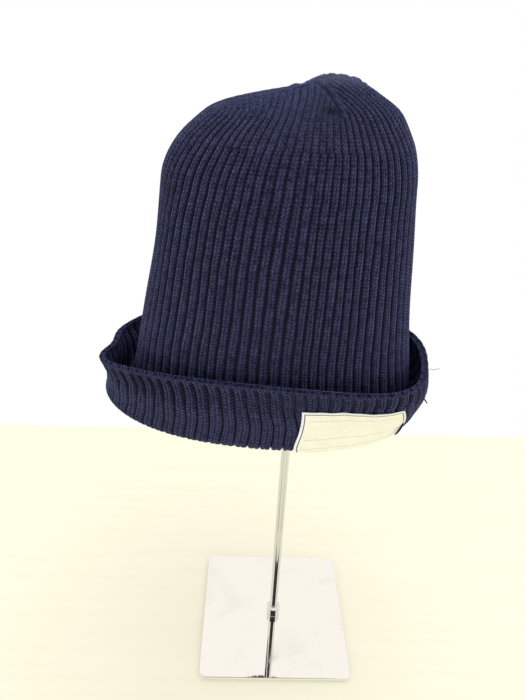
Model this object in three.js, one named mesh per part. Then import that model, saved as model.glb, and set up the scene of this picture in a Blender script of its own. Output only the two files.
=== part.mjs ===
// A rib-knit watch cap with one turned-up cuff and a cloth label, resting on its display stand.
// Millimetres, +Z up, the cap's front towards -Y and the label towards +X.
// The origin is the centre of the base plate's underside, where the stand touches the table.

import * as THREE from "three";

// ---------------------------------------------------------------- driving dimensions

const PLATE = { side: 120, thickness: 3, corner: 6, bevel: 0.5, cornerSteps: 5 };
const POLE = { diameter: 6.4, sides: 24 };
const NUT = { diameter: 11, height: 9.5, chamfer: 1.8, clearance: 0.3 };
const REST = { underside: 384, lowestRow: 6, clearance: 0.6 };

const KNIT = {
  ribs: 72, // raised ribs round the whole cap
  thickness: 2.4, // of the knitted cloth itself
  ribDepth: 1.2, // from a rib's crest down to the groove beside it
  foldSteps: 4, // turns of equal angle round the fold
  foldRadius: 4.6, // of the cloth's middle where the cuff turns up
};
const LABEL = {
  firstPoint: 74, // its left edge, counted in points of a ring from straight behind through the left side
  columns: 8, // each two points wide
  topRow: 2, // the cuff's row that its upper edge keeps to, counted from the free edge
  riseLeft: 0.35, // of the way to the row above, at the left edge
  riseRight: 0.05,
  thickness: 0.8,
  clearance: 0.5, // to the crests that it lies on
};

// Sections of the crown's cloth, from the fold up. Each is an oval at a height z: its centre's x and y, half
// its width and depth, how square it is (2 is an ellipse), the degrees it is turned anticlockwise, its rise
// per millimetre towards its right-hand end, how far its front and back stand up, and the degrees its ribs
// are turned.
const CROWN = [
  { z: 226, x: -21.5, y: 12, wide: 99, deep: 50, square: 2.3, turn: -12, tilt: 0.05, saddle: -3.5, twist: 0 },
  { z: 243, x: -15, y: 12, wide: 93, deep: 48, square: 2.2, turn: -9, tilt: 0.03, saddle: -2, twist: 0 },
  { z: 293, x: -12.5, y: 11, wide: 83.5, deep: 46, square: 2.2, turn: -5, tilt: 0, saddle: 0, twist: 0 },
  { z: 333, x: -10, y: 10, wide: 77, deep: 45, square: 2.2, turn: -2, tilt: 0, saddle: 0, twist: 0 },
  { z: 362, x: -9.5, y: 10, wide: 73.5, deep: 43, square: 2.2, turn: 0, tilt: 0, saddle: 0, twist: 0 },
  { z: 378, x: -9, y: 10, wide: 71.5, deep: 40, square: 2.2, turn: 0, tilt: 0, saddle: 0, twist: 0 },
  { z: 391, x: -7, y: 10, wide: 66.5, deep: 36, square: 2.1, turn: 0, tilt: 0, saddle: 0, twist: 0 },
  { z: 401, x: -4.5, y: 10, wide: 59, deep: 31, square: 2, turn: 0, tilt: 0, saddle: 0, twist: 0 },
  { z: 410, x: 0, y: 10, wide: 47.5, deep: 24, square: 2, turn: 0, tilt: 0, saddle: 0, twist: 0 },
  { z: 417.5, x: 7.5, y: 10, wide: 30.5, deep: 17, square: 2, turn: 0, tilt: 0, saddle: 0, twist: 0 },
  { z: 423.5, x: 11.5, y: 10, wide: 17, deep: 10, square: 2, turn: 0, tilt: 0, saddle: 0, twist: 0 },
  { z: 425.5, x: 11.5, y: 10, wide: 8, deep: 5, square: 2, turn: 0, tilt: 0, saddle: 0, twist: 0 },
];
const APEX = { z: 427.4, x: 11.5, y: 10 };

// The same for the cuff, from the fold up to its free edge.
const CUFF = [
  { z: 226, x: -23.5, y: 12, wide: 107, deep: 59, square: 2.3, turn: -12, tilt: 0.05, saddle: -3, twist: 0 },
  { z: 238, x: -21, y: 12, wide: 106.5, deep: 61, square: 2.4, turn: -13, tilt: 0.06, saddle: -1, twist: 0 },
  { z: 250, x: -20, y: 11, wide: 105, deep: 62, square: 2.5, turn: -14, tilt: 0.06, saddle: 1.5, twist: -3 },
  { z: 258, x: -21, y: 11, wide: 105.5, deep: 64, square: 2.6, turn: -15, tilt: 0.07, saddle: 3, twist: -7 },
  { z: 265, x: -22, y: 11, wide: 105.5, deep: 66, square: 2.6, turn: -15, tilt: 0.07, saddle: 4, twist: -8 },
];

// Dents and bulges of the soft cloth: the layer, the direction from the section's centre and the degrees it
// spreads, the height and how far it reaches up and down, and how far it moves the cloth out and up.
const DENTS = [
  { layer: "cuff", around: 150, spread: 12, z: 265, reach: 16, out: 5, up: -4 },
  { layer: "cuff", around: 172, spread: 6, z: 265, reach: 14, out: -4, up: -1 },
  { layer: "cuff", around: 190, spread: 8, z: 264, reach: 9, out: 2, up: -1 },
  { layer: "cuff", around: -12, spread: 16, z: 246, reach: 14, out: 3, up: 0 },
  { layer: "cuff", around: -36, spread: 14, z: 265, reach: 16, out: 3, up: -2 },
  { layer: "crown", around: 180, spread: 22, z: 423, reach: 3, out: -4, up: -2.5 },
];

// ---------------------------------------------------------------- sections of the cloth

const POINTS_ROUND = 2 * KNIT.ribs; // one on each crest and one in each groove
const SAMPLES = 360; // steps along half an outline
const UP = new THREE.Vector3(0, 0, 1);

// A section's point at an angle from its own right-hand end.
function ovalPoint(section, angle) {
  const c = Math.cos(angle);
  const s = Math.sin(angle);
  const power = 2 / section.square;
  const x = section.wide * Math.sign(c) * Math.abs(c) ** power;
  const y = section.deep * Math.sign(s) * Math.abs(s) ** power;
  const z = section.z + section.tilt * x + section.saddle * (s * s - c * c);
  return new THREE.Vector3(x, y, z)
    .applyAxisAngle(UP, THREE.MathUtils.degToRad(section.turn))
    .add(new THREE.Vector3(section.x, section.y, 0));
}

// How much of a dent is felt at a distance from its middle.
function fade(distance, spread) {
  return Math.exp(-0.5 * (distance / spread) ** 2);
}

// A section's point moved by the dents of its layer.
function dented(point, section, layer) {
  const outward = new THREE.Vector3(point.x - section.x, point.y - section.y, 0).normalize();
  const around = THREE.MathUtils.radToDeg(Math.atan2(outward.y, outward.x));
  for (const dent of DENTS.filter((each) => each.layer === layer)) {
    const aside = THREE.MathUtils.euclideanModulo(around - dent.around + 180, 360) - 180;
    const felt = fade(aside, dent.spread) * fade(section.z - dent.z, dent.reach);
    point.addScaledVector(outward, felt * dent.out);
    point.z += felt * dent.up;
  }
  return point;
}

// Half of a section's outline as evenly spaced points, from an angle, without the last.
function halfRing(section, layer, from) {
  const outline = [];
  const travelled = [0];
  for (let i = 0; i <= SAMPLES; i++) {
    outline.push(dented(ovalPoint(section, from + (Math.PI * i) / SAMPLES), section, layer));
    if (i > 0) travelled.push(travelled[i - 1] + outline[i].distanceTo(outline[i - 1]));
  }
  const points = [];
  const count = POINTS_ROUND / 2;
  let at = 0;
  for (let j = 0; j < count; j++) {
    const wanted = (travelled[SAMPLES] * j) / count;
    while (travelled[at + 1] < wanted) at++;
    const share = (wanted - travelled[at]) / (travelled[at + 1] - travelled[at]);
    points.push(outline[at].clone().lerp(outline[at + 1], share));
  }
  return points;
}

// A whole ring, from behind the section's centre round the left side, so that untwisted ribs run straight up.
function sectionRing(section, layer) {
  const behind = THREE.MathUtils.degToRad(90 - section.turn + section.twist);
  return [...halfRing(section, layer, behind), ...halfRing(section, layer, behind + Math.PI)];
}

// The rings of the fold: half a turn from the cuff's lowest ring to the crown's.
function foldRings(cuffRing, crownRing) {
  const rings = [];
  for (let step = 1; step < KNIT.foldSteps; step++) {
    const turned = (Math.PI * step) / KNIT.foldSteps;
    rings.push(
      cuffRing.map((outer, j) => {
        const point = outer.clone().lerp(crownRing[j], (1 - Math.cos(turned)) / 2);
        point.z -= KNIT.foldRadius * Math.sin(turned);
        return point;
      }),
    );
  }
  return rings;
}

// The cloth's unit normals, to the side that is outside on the crown and inside on the cuff.
function ringNormals(rings) {
  return rings.map((ring, i) =>
    ring.map((_, j) => {
      const before = rings[Math.max(i - 1, 0)];
      const after = rings[Math.min(i + 1, rings.length - 1)];
      const along = after[j].clone().sub(before[j]);
      const around = ring[(j + 1) % ring.length].clone().sub(ring.at(j - 1));
      return around.cross(along).normalize();
    }),
  );
}

// The middle of the cloth, from the cuff's free edge down, round the fold and up the crown.
const cuffRings = CUFF.map((section) => sectionRing(section, "cuff"));
const crownRings = CROWN.map((section) => sectionRing(section, "crown"));
const cloth = [...cuffRings.toReversed(), ...foldRings(cuffRings[0], crownRings[0]), ...crownRings];
const clothNormals = ringNormals(cloth);
const crownStart = cloth.length - crownRings.length;
const foldBottom = cuffRings.length + KNIT.foldSteps / 2 - 1;

// A ring of the cloth moved along its normals by a distance that may depend on the point.
function offsetRing(i, distance) {
  return cloth[i].map((point, j) => point.clone().addScaledVector(clothNormals[i][j], distance(j)));
}

// Both faces wave with the ribs, so that a crest on one face is a groove on the other.
function ribWave(j) {
  return (j % 2 === 0 ? -0.5 : 0.5) * KNIT.ribDepth;
}

const crownFace = (i) => offsetRing(i, (j) => KNIT.thickness / 2 + ribWave(j));
const cuffFace = (i) => offsetRing(i, (j) => -KNIT.thickness / 2 + ribWave(j));
const plainFace = (i, distance) => offsetRing(i, () => distance);
const thinned = (ring, step) => ring.filter((_, j) => j % step === 0);

// ---------------------------------------------------------------- closed meshes from rings

class Shell {
  positions = [];
  triangles = [];

  addRing(points) {
    const first = this.positions.length / 3;
    for (const p of points) this.positions.push(p.x, p.y, p.z);
    return points.map((_, j) => first + j);
  }

  // Joins a ring to the next one; the longer has a whole number of points for each point of the shorter.
  join(ring, next) {
    const flipped = ring.length < next.length;
    const [fine, coarse] = flipped ? [next, ring] : [ring, next];
    const ratio = fine.length / coarse.length;
    const corner = (j) => coarse[Math.floor(j / ratio + 0.5) % coarse.length];
    fine.forEach((point, j) => {
      const following = fine[(j + 1) % fine.length];
      this.face(point, following, corner(j), flipped);
      if (corner(j + 1) !== corner(j)) this.face(following, corner(j + 1), corner(j), flipped);
    });
  }

  // Closes a ring with a point.
  close(ring, tip, flipped) {
    const [centre] = this.addRing([tip]);
    ring.forEach((point, j) => this.face(point, ring[(j + 1) % ring.length], centre, flipped));
  }

  face(a, b, c, flipped) {
    this.triangles.push(...(flipped ? [a, c, b] : [a, b, c]));
  }

  geometry() {
    const made = new THREE.BufferGeometry();
    made.setAttribute("position", new THREE.Float32BufferAttribute(this.positions, 3));
    made.setIndex(this.triangles);
    made.computeVertexNormals();
    return made;
  }
}

// A closed skin over a stack of rings, from a tip before the first to a tip after the last.
function skin(firstTip, rings, lastTip) {
  const shell = new Shell();
  const added = rings.map((ring) => shell.addRing(ring));
  added.slice(1).forEach((ring, k) => shell.join(added[k], ring));
  shell.close(added[0], firstTip, true);
  shell.close(added.at(-1), lastTip, false);
  return shell.geometry();
}

// ---------------------------------------------------------------- the knitted cap

function knitCapGeometry() {
  const top = cloth.length - 1;
  const apex = new THREE.Vector3(APEX.x, APEX.y, APEX.z);
  const rings = [];
  for (let i = top; i > crownStart; i--) rings.push(thinned(plainFace(i, -KNIT.thickness / 2), 4));
  for (let i = crownStart; i >= 0; i--) rings.push(cuffFace(i));
  for (let i = 0; i < top - 1; i++) rings.push(crownFace(i));
  rings.push(thinned(plainFace(top - 1, KNIT.thickness / 2), 2));
  rings.push(thinned(plainFace(top, KNIT.thickness / 2), 4));
  return skin(apex.clone().setZ(APEX.z - KNIT.thickness), rings, apex);
}

// The label: a stack of thin cross-sections from its left edge to its right, on rings with no kink.
function labelGeometry() {
  const straight = CUFF.map((section) => sectionRing({ ...section, twist: 0 }, "cuff"));
  const rows = [...straight.toReversed(), ...foldRings(straight[0], crownRings[0])];
  const normals = ringNormals(rows);
  const at = (i, j, distance) => rows[i][j].clone().addScaledVector(normals[i][j], distance);
  const crossSection = (k, distance) => {
    const j = LABEL.firstPoint + 2 * k;
    const rise = THREE.MathUtils.lerp(LABEL.riseLeft, LABEL.riseRight, k / LABEL.columns);
    const points = [at(LABEL.topRow, j, distance).lerp(at(LABEL.topRow - 1, j, distance), rise)];
    for (let i = LABEL.topRow + 1; i <= foldBottom; i++) points.push(at(i, j, distance));
    return points;
  };
  const under = -(KNIT.thickness + KNIT.ribDepth) / 2 - LABEL.clearance;
  const sections = [];
  for (let k = 0; k <= LABEL.columns; k++) {
    sections.push([...crossSection(k, under - LABEL.thickness), ...crossSection(k, under).toReversed()]);
  }
  const middle = (section) => section[1].clone().lerp(section.at(-2), 0.5);
  return skin(middle(sections[0]), sections, middle(sections.at(-1)));
}

// ---------------------------------------------------------------- the stand

function basePlateGeometry() {
  const half = PLATE.side / 2 - PLATE.bevel;
  const corner = PLATE.corner - PLATE.bevel;
  const flat = half - corner;
  const outline = new THREE.Shape();
  outline.absarc(flat, flat, corner, 0, Math.PI / 2);
  outline.absarc(-flat, flat, corner, Math.PI / 2, Math.PI);
  outline.absarc(-flat, -flat, corner, Math.PI, 1.5 * Math.PI);
  outline.absarc(flat, -flat, corner, 1.5 * Math.PI, 2 * Math.PI);
  return new THREE.ExtrudeGeometry(outline, {
    depth: PLATE.thickness - 2 * PLATE.bevel,
    bevelThickness: PLATE.bevel,
    bevelSize: PLATE.bevel,
    bevelSegments: 1,
    curveSegments: PLATE.cornerSteps,
  }).translate(0, 0, PLATE.bevel);
}

function poleGeometry() {
  const length = REST.underside - PLATE.thickness;
  const radius = POLE.diameter / 2;
  return new THREE.CylinderGeometry(radius, radius, length, POLE.sides)
    .rotateX(Math.PI / 2)
    .translate(0, 0, PLATE.thickness + length / 2);
}

function footNutGeometry() {
  const bore = POLE.diameter / 2 + NUT.clearance;
  const radius = NUT.diameter / 2;
  const profile = [
    [bore, 0],
    [radius, 0],
    [radius, NUT.height - NUT.chamfer],
    [(bore + radius) / 2, NUT.height],
    [bore, NUT.height],
    [bore, 0],
  ].map(([r, z]) => new THREE.Vector2(r, z));
  return new THREE.LatheGeometry(profile, POLE.sides)
    .rotateX(Math.PI / 2)
    .translate(0, 0, PLATE.thickness);
}

// The dome that carries the cap: flat underneath, and following the inside of the crown's top.
function capRestGeometry() {
  const inside = -KNIT.thickness / 2 - REST.clearance;
  const rings = [];
  for (let i = crownStart + REST.lowestRow; i < cloth.length; i++) {
    rings.push(thinned(plainFace(i, inside), 4));
  }
  const floor = rings[0].map((point) => point.clone().setZ(REST.underside));
  const apex = new THREE.Vector3(APEX.x, APEX.y, APEX.z - KNIT.thickness - REST.clearance);
  return skin(new THREE.Vector3(0, 0, REST.underside), [floor, ...rings], apex);
}

// ---------------------------------------------------------------- scene graph

const KNIT_LOOK = { color: 0x1b2138, roughness: 0.95, metalness: 0 };
const LABEL_LOOK = { color: 0xefe9c8, roughness: 0.85, metalness: 0 };
const CHROME_LOOK = { color: 0xd8d8d6, roughness: 0.08, metalness: 1 };
const REST_LOOK = { color: 0xb9b9b7, roughness: 0.35, metalness: 1 };

function namedMesh(name, geometry, look) {
  const mesh = new THREE.Mesh(geometry, new THREE.MeshStandardMaterial(look));
  mesh.name = name;
  return mesh;
}

const stand = new THREE.Group();
stand.add(
  namedMesh("base_plate", basePlateGeometry(), CHROME_LOOK),
  namedMesh("foot_nut", footNutGeometry(), CHROME_LOOK),
  namedMesh("pole", poleGeometry(), CHROME_LOOK),
  namedMesh("cap_rest", capRestGeometry(), REST_LOOK),
);

const cap = new THREE.Group();
cap.add(
  namedMesh("knit_cap", knitCapGeometry(), KNIT_LOOK),
  namedMesh("label", labelGeometry(), LABEL_LOOK),
);

const root = new THREE.Group();
root.add(stand, cap);

export default root;
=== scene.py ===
"""The looks of a rib-knit cap with a turned-up cuff and a cloth label, on its display stand.

Pieces are in metres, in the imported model's own frame: +Z up, the cap's front towards -Y, and the origin at
the centre of the base plate's underside. The cap's form is given and worked out in millimetres, which MM
turns into metres as its meshes are placed.
"""

import math
from collections import namedtuple

import bmesh
import bpy
import numpy as np
from mathutils import Matrix, Vector


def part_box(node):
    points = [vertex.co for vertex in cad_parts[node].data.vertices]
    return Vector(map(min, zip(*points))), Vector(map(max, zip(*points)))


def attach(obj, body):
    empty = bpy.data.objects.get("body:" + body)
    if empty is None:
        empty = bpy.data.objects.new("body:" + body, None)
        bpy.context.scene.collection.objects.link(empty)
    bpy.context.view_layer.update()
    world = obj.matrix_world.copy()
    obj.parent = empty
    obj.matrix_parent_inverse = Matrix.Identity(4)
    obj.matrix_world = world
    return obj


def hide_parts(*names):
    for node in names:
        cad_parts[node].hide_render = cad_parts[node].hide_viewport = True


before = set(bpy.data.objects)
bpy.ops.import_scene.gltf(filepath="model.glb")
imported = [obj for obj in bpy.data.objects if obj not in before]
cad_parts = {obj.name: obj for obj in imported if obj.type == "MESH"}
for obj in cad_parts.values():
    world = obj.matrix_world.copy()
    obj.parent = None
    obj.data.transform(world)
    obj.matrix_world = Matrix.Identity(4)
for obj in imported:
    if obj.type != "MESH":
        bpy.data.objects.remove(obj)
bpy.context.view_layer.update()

MM = 0.001

# ---------------------------------------------------------------- camera

LENS = 28.9  # millimetres, on a sensor 36 mm tall
CAMERA_PLACE = Vector((-32.4, -324.9, 439.1)) * MM
CAMERA_RIGHT = 2.11  # degrees that it looks to its right
CAMERA_DOWN = 28.38  # degrees that it looks down
CAMERA_LEAN = 2.826  # degrees that it leans to its left

camera_data = bpy.data.cameras.new("camera")
camera_data.lens = LENS
camera = bpy.data.objects.new("camera", camera_data)
camera.matrix_world = (
    Matrix.Translation(CAMERA_PLACE)
    @ Matrix.Rotation(math.radians(-CAMERA_RIGHT), 4, "Z")
    @ Matrix.Rotation(math.radians(90 - CAMERA_DOWN), 4, "X")
    @ Matrix.Rotation(math.radians(CAMERA_LEAN), 4, "Z")
)
bpy.context.scene.collection.objects.link(camera)
bpy.context.scene.camera = camera

# ---------------------------------------------------------------- the cap's form, in mm and degrees

RIBS = 72
POINTS_PER_RIB = 8  # as many as the squares of a grid gain with each step outwards, for the dome
COLUMNS = POINTS_PER_RIB * RIBS  # points round every ring of the knit
KNIT_THICKNESS = 2.4
FOLD_RADIUS = 4.6
COURSE = 2.1  # height of one row of stitches
SAMPLES = 360  # steps along half an outline

# An oval at a height z: its centre's x and y, half its width and depth, how square it is (2 is an ellipse),
# the degrees it is turned, its rise per millimetre towards its right-hand end, and how far its front and
# back stand up.
Section = namedtuple("Section", "z x y wide deep square turn tilt saddle")
CROWN = [
    Section(226, -21.5, 12, 99, 50, 2.3, -12, 0.05, -3.5),
    Section(243, -15, 12, 93, 48, 2.2, -9, 0.03, -2),
    Section(293, -12.5, 11, 83.5, 46, 2.2, -5, 0, 0),
    Section(333, -10, 10, 77, 45, 2.2, -2, 0, 0),
    Section(362, -9.5, 10, 73.5, 43, 2.2, 0, 0, 0),
    Section(378, -9, 10, 71.5, 40, 2.2, 0, 0, 0),
    Section(391, -7, 10, 66.5, 36, 2.1, 0, 0, 0),
    Section(401, -4.5, 10, 59, 31, 2, 0, 0, 0),
    Section(410, 0, 10, 47.5, 24, 2, 0, 0, 0),
    Section(417.5, 6.5, 10, 30, 17, 2, 0, 0, 0),
    Section(423.5, 9.5, 10, 16.5, 10, 2, 0, 0, 0),
    Section(425.5, 9, 10, 8, 5, 2, 0, 0, 0),
    Section(426.2, 9, 10, 0.0001, 0.0001, 2, 0, 0, 0),
]
DARTS_START = 6  # the row of the table where the crown starts to be drawn in by its darts
CUFF = [
    Section(226, -23.5, 12, 107, 59, 2.3, -12, 0.05, -3),
    Section(238, -21, 12, 106.5, 61, 2.4, -13, 0.06, -1),
    Section(250, -20, 11, 105, 62, 2.5, -14, 0.06, 1.5),
    Section(258, -21, 11, 105.5, 64, 2.6, -15, 0.07, 3),
    Section(265, -22, 11, 105.5, 66, 2.6, -15, 0.07, 4),
]

# A dent or bulge: its layer, the direction from the section's centre and the degrees it spreads, its height
# and how far it reaches up and down, and how far it moves the cloth out and up.
Dent = namedtuple("Dent", "layer around spread z reach out up")
DENTS = [
    Dent("cuff", 150, 12, 265, 16, 5, -4),
    Dent("cuff", 172, 6, 265, 14, -4, -1),
    Dent("cuff", 190, 8, 264, 9, 2, -1),
    Dent("cuff", -12, 16, 246, 14, 3, 0),
    Dent("cuff", -36, 14, 265, 16, 3, -2),
    Dent("crown", 180, 22, 423, 3, -4, -2.5),
    Dent("crown", 178, 26, 409, 4, 2, 0.6),
    Dent("crown", -5, 28, 410, 4, 0.7, 0.2),
    Dent("cuff", -135, 48, 248, 6, 2.2, 0),
    Dent("cuff", 120, 25, 226, 14, -9, 0),
    Dent("cuff", 48, 18, 226, 14, 12, 0),
    Dent("cuff", 76, 12, 226, 14, 4, 0),
    Dent("crown", 120, 25, 226, 14, -9, 0),
    Dent("crown", 48, 18, 226, 14, 12, 0),
    Dent("crown", 76, 12, 226, 14, 4, 0),
]

# A dart of the crown: the rib it starts at, counted from straight behind round the left side, the rib that
# the panel after it keeps whole up to the top, and how wide the ribs fade away beside it.
Dart = namedtuple("Dart", "rib kept fade")
DARTS = [Dart(1.5, 10.5, 2.2), Dart(18.5, 33.9, 4.95), Dart(39.5, 44, 1.65), Dart(56.5, 64.5, 2.2)]
DART_SHARE = 0.80  # of the girth at the dome's foot, where the darts begin
DARTS_MEET = (0.27, 26)  # where they meet: a share of the dome, and a rib's direction
# The darts draw a panel in from 0 where they begin to 1 where they meet.
DART_EASE = 0.15  # how gently that starts
SEAM_FULL = 0.03  # drawn in so far, the seams stand out in full
RIBS_STRAIGHT = 0.3  # and so far, a panel's ribs run beside the rib that it keeps, and not towards the top
SIDE_BY_SIDE = 0.55  # how nearly parallel they then are, up to 1
SEAM_GROOVE = 0.8  # how wide the groove in a seam is
SEAM_RIDGE = (2.2, 1.1)  # how far beside a seam the cloth stands up, and how wide
# Where the front seam puckers: the rib and how many each way, the share of the dome and its reach, and how
# deep it is as a share of the ribs' depth.
Pucker = namedtuple("Pucker", "rib ribs share reach depth")
PUCKER = Pucker(38, 1.3, 0.68, 0.06, 1.8)

# How far the crown's ribs stand aside of even spacing, in ribs, by their number.
GATHERS = [(0, -0.4), (12, -0.5), (22, -0.6), (26.5, -0.4), (30, -0.55), (33, -0.25), (36, 0.1), (39, -0.3)]
GATHERS += [(42.5, -0.7), (46, -0.77), (52, -0.8), (60, -0.5), (72, -0.4)]
# How far they lean round the cap as they climb, in ribs, by height, and how strongly by rib.
LEAN = [(226, 0), (274, 0.3), (295, 0.6), (313, 0.75), (331, 0.9), (351, 1.3), (369, 1.8), (384, 1.9)]
LEAN_SHARE = [(0, 1.2), (18, 1.7), (26, 1.45), (36, 1.1), (46, 1), (60, 1), (72, 1.2)]
# How far the cuff's ribs stand aside at the fold and at the free edge, and by height how far they have gone
# from the one to the other: they jog where a crease runs round the cuff.
CUFF_FOLD = [(0, -0.5), (14, -0.8), (21, -0.9), (25, -0.85), (29, -0.8), (32, -0.55), (34, -0.3)]
CUFF_FOLD += [(37, -0.4), (41, -0.8), (45, -1.3), (50, -1.6), (60, -1.2), (72, -0.5)]
CUFF_EDGE = [(0, -0.5), (14, -0.7), (21, -0.64), (23.5, -0.35), (25, -0.52), (27, -0.93), (30, -1.13)]
CUFF_EDGE += [(34, -1.29), (38, -1.8), (41, -2.24), (43, -2.67), (46, -3), (52, -2.8), (60, -1.8)]
CUFF_EDGE += [(72, -0.5)]
CUFF_JOG = [(228, 0), (240, 0.4), (249, 0.85), (254, 1), (265, 1)]
TAKEN_OVER = 20  # rows of the cloth above the fold in which the crown's ribs take over from the fold's
STEADIED = 20  # rows of the cloth below the darts in which the ribs stop wandering


def between(table, t):
    """The section at a fractional row of a table, on a smooth curve through its rows."""
    i = min(int(t), len(table) - 2)
    u = t - i
    before, here, there, after = (
        np.array(table[min(max(k, 0), len(table) - 1)]) for k in (i - 1, i, i + 1, i + 2)
    )
    bend = 2 * before - 5 * here + 4 * there - after
    swing = 3 * here - before - 3 * there + after
    return Section(*(0.5 * (2 * here + (there - before) * u + bend * u**2 + swing * u**3)))


def outline(section, angles, layer):
    """Points of a section's outline, moved by its layer's dents, at angles from its right-hand end."""
    c, s = np.cos(angles), np.sin(angles)
    power = 2 / section.square
    x = section.wide * np.sign(c) * np.abs(c) ** power
    y = section.deep * np.sign(s) * np.abs(s) ** power
    z = section.z + section.tilt * x + section.saddle * (s * s - c * c)
    turn = math.radians(section.turn)
    flat = np.stack([x * math.cos(turn) - y * math.sin(turn), x * math.sin(turn) + y * math.cos(turn)], 1)
    outward = flat / np.maximum(np.linalg.norm(flat, axis=1, keepdims=True), 1e-9)
    around = np.degrees(np.arctan2(outward[:, 1], outward[:, 0]))
    for dent in DENTS:
        if dent.layer == layer:
            aside = ((around - dent.around + 180) % 360 - 180) / dent.spread
            above = (section.z - dent.z) / dent.reach
            felt = np.exp(-0.5 * aside**2 - 0.5 * above**2)
            flat += outward * (felt * dent.out)[:, None]
            z += felt * dent.up
    return np.column_stack([flat + (section.x, section.y), z])


def ring(section, layer):
    """A section's outline as evenly spaced points, from straight behind round the left side."""
    behind = math.radians(90 - section.turn)
    halves = []
    for start in (behind, behind + math.pi):
        points = outline(section, np.linspace(start, start + math.pi, SAMPLES + 1), layer)
        travelled = np.append(0, np.cumsum(np.linalg.norm(np.diff(points, axis=0), axis=1)))
        wanted = np.linspace(0, travelled[-1], COLUMNS // 2 + 1)[:-1]
        halves += [np.stack([np.interp(wanted, travelled, axis) for axis in points.T], 1)]
    return np.concatenate(halves)


def folded(cuff_ring, crown_ring, steps):
    """Rings of the half turn between the cuff's lowest ring and the crown's."""
    turned = [math.pi * step / steps for step in range(1, steps)]
    apart = crown_ring - cuff_ring
    drop = np.array([0, 0, FOLD_RADIUS])
    return [cuff_ring + apart * (1 - math.cos(turn)) / 2 - drop * math.sin(turn) for turn in turned]


class Cloth:
    """The middle of the knitted cloth as rings: from the cuff's free edge down, round the fold and up.

    steps is the number of rings from one row of the form's tables to the next. A row of the cloth is the
    number of a ring, whole or not: lowest is at the bottom of the fold, and darts at the dome's foot.
    """

    def __init__(self, steps=12):
        cuff, crown = (
            [ring(between(table, t), layer) for t in np.arange(0, len(table) - 1 + 1e-6, 1 / steps)]
            for table, layer in ((CUFF, "cuff"), (CROWN, "crown"))
        )
        fold = folded(cuff[0], crown[0], steps)
        self.rings = self.relaxed(np.array([*cuff[::-1], *fold, *crown]))
        self.lowest = len(cuff) + len(fold) // 2
        self.darts = len(cuff) + len(fold) + DARTS_START * steps
        along = np.gradient(self.rings, axis=0)
        around = np.roll(self.rings, -1, axis=1) - np.roll(self.rings, 1, axis=1)
        normals = np.cross(around, along)
        self.normals = normals / np.maximum(np.linalg.norm(normals, axis=2, keepdims=True), 1e-9)
        self.normals[-1] = (0, 0, 1)  # straight up at the very top
        steps_up = np.linalg.norm(np.diff(self.rings, axis=0), axis=2).mean(1)
        self.height = np.append(0, np.cumsum(steps_up))
        spans = np.linalg.norm(np.roll(self.rings, -1, axis=1) - self.rings, axis=2)
        self.girth = spans.sum(1)
        self.level = self.rings[:, :, 2].mean(1)

    @staticmethod
    def relaxed(rings, passes=6):
        """The rings with the creases between one stretch and the next smoothed out."""
        for _ in range(passes):
            rings[1:-1] += 0.25 * (rings[:-2] - 2 * rings[1:-1] + rings[2:])
        return rings

    def at(self, row, column):
        """Points and normals at fractional rows and columns."""
        r = np.clip(row, 0, len(self.rings) - 1)
        low = np.minimum(r.astype(int), len(self.rings) - 2)
        left = np.floor(column).astype(int) % COLUMNS
        right = (left + 1) % COLUMNS
        up, aside = (r - low)[..., None], (column - np.floor(column))[..., None]

        def mixed(values):
            lower = values[low, left] * (1 - aside) + values[low, right] * aside
            upper = values[low + 1, left] * (1 - aside) + values[low + 1, right] * aside
            return lower * (1 - up) + upper * up

        normal = mixed(self.normals)
        return mixed(self.rings), normal / np.maximum(np.linalg.norm(normal, axis=-1, keepdims=True), 1e-9)


# ---------------------------------------------------------------- ribs

SHOULDER = 0.34  # how wide a rib's rounded side is, in ribs
WALE_GROOVE = (0.3, 0.08)  # depth and width of the groove between a rib's two wales, as shares of the rib's


def bell(distance, width):
    """1 at no distance, fading to nothing over a width or two."""
    return np.exp(-((distance / width) ** 2))


def rib_height(rib, shoulder=SHOULDER):
    """How far the knit stands up at a rib number: 0 in the groove between two ribs, 1 on a rib's crest."""
    across = np.abs(rib % 1 - 0.5)  # 0 at the middle of a rib, 0.5 in the groove
    rise = np.clip((0.5 - across) / shoulder, 0, 1)
    depth, width = WALE_GROOVE
    return np.sin(0.5 * np.pi * rise) - depth * bell(across, width)


def table_value(table, where):
    """A value between the rows of a table of places and values."""
    places, values = zip(*table)
    return np.interp(where, places, values)


def waver(rib, level):
    """How far a rib wanders at a height, in ribs: long slow bends and short quick ones."""
    slow = np.sin(level / 31 + 0.9 * np.sin(rib / 5.1)) * np.sin(rib / 3.7 + level / 53)
    quick = np.sin(level / 9.3 + rib * 2.39) * np.sin(level / 14.1 + rib * 1.13)
    return 0.08 * slow + 0.06 * quick


def stand_aside(rib, cloth_row):
    """How far a rib stands aside of even spacing at a row of the cloth, in ribs."""
    rib = rib % RIBS
    level = np.interp(cloth_row, np.arange(len(cloth.level)), cloth.level)
    crown = table_value(GATHERS, rib) + table_value(LEAN, level) * table_value(LEAN_SHARE, rib)
    fold, edge = table_value(CUFF_FOLD, rib), table_value(CUFF_EDGE, rib)
    cuff = fold + (edge - fold) * table_value(CUFF_JOG, level)
    up = np.clip((cloth_row - cloth.lowest) / TAKEN_OVER, 0, 1)
    stands = np.where(cloth_row > cloth.lowest, crown * up + fold * (1 - up), cuff)
    low = np.clip((cloth.darts - cloth_row) / STEADIED, 0, 1)
    return stands + low * waver(rib, level)


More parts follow.
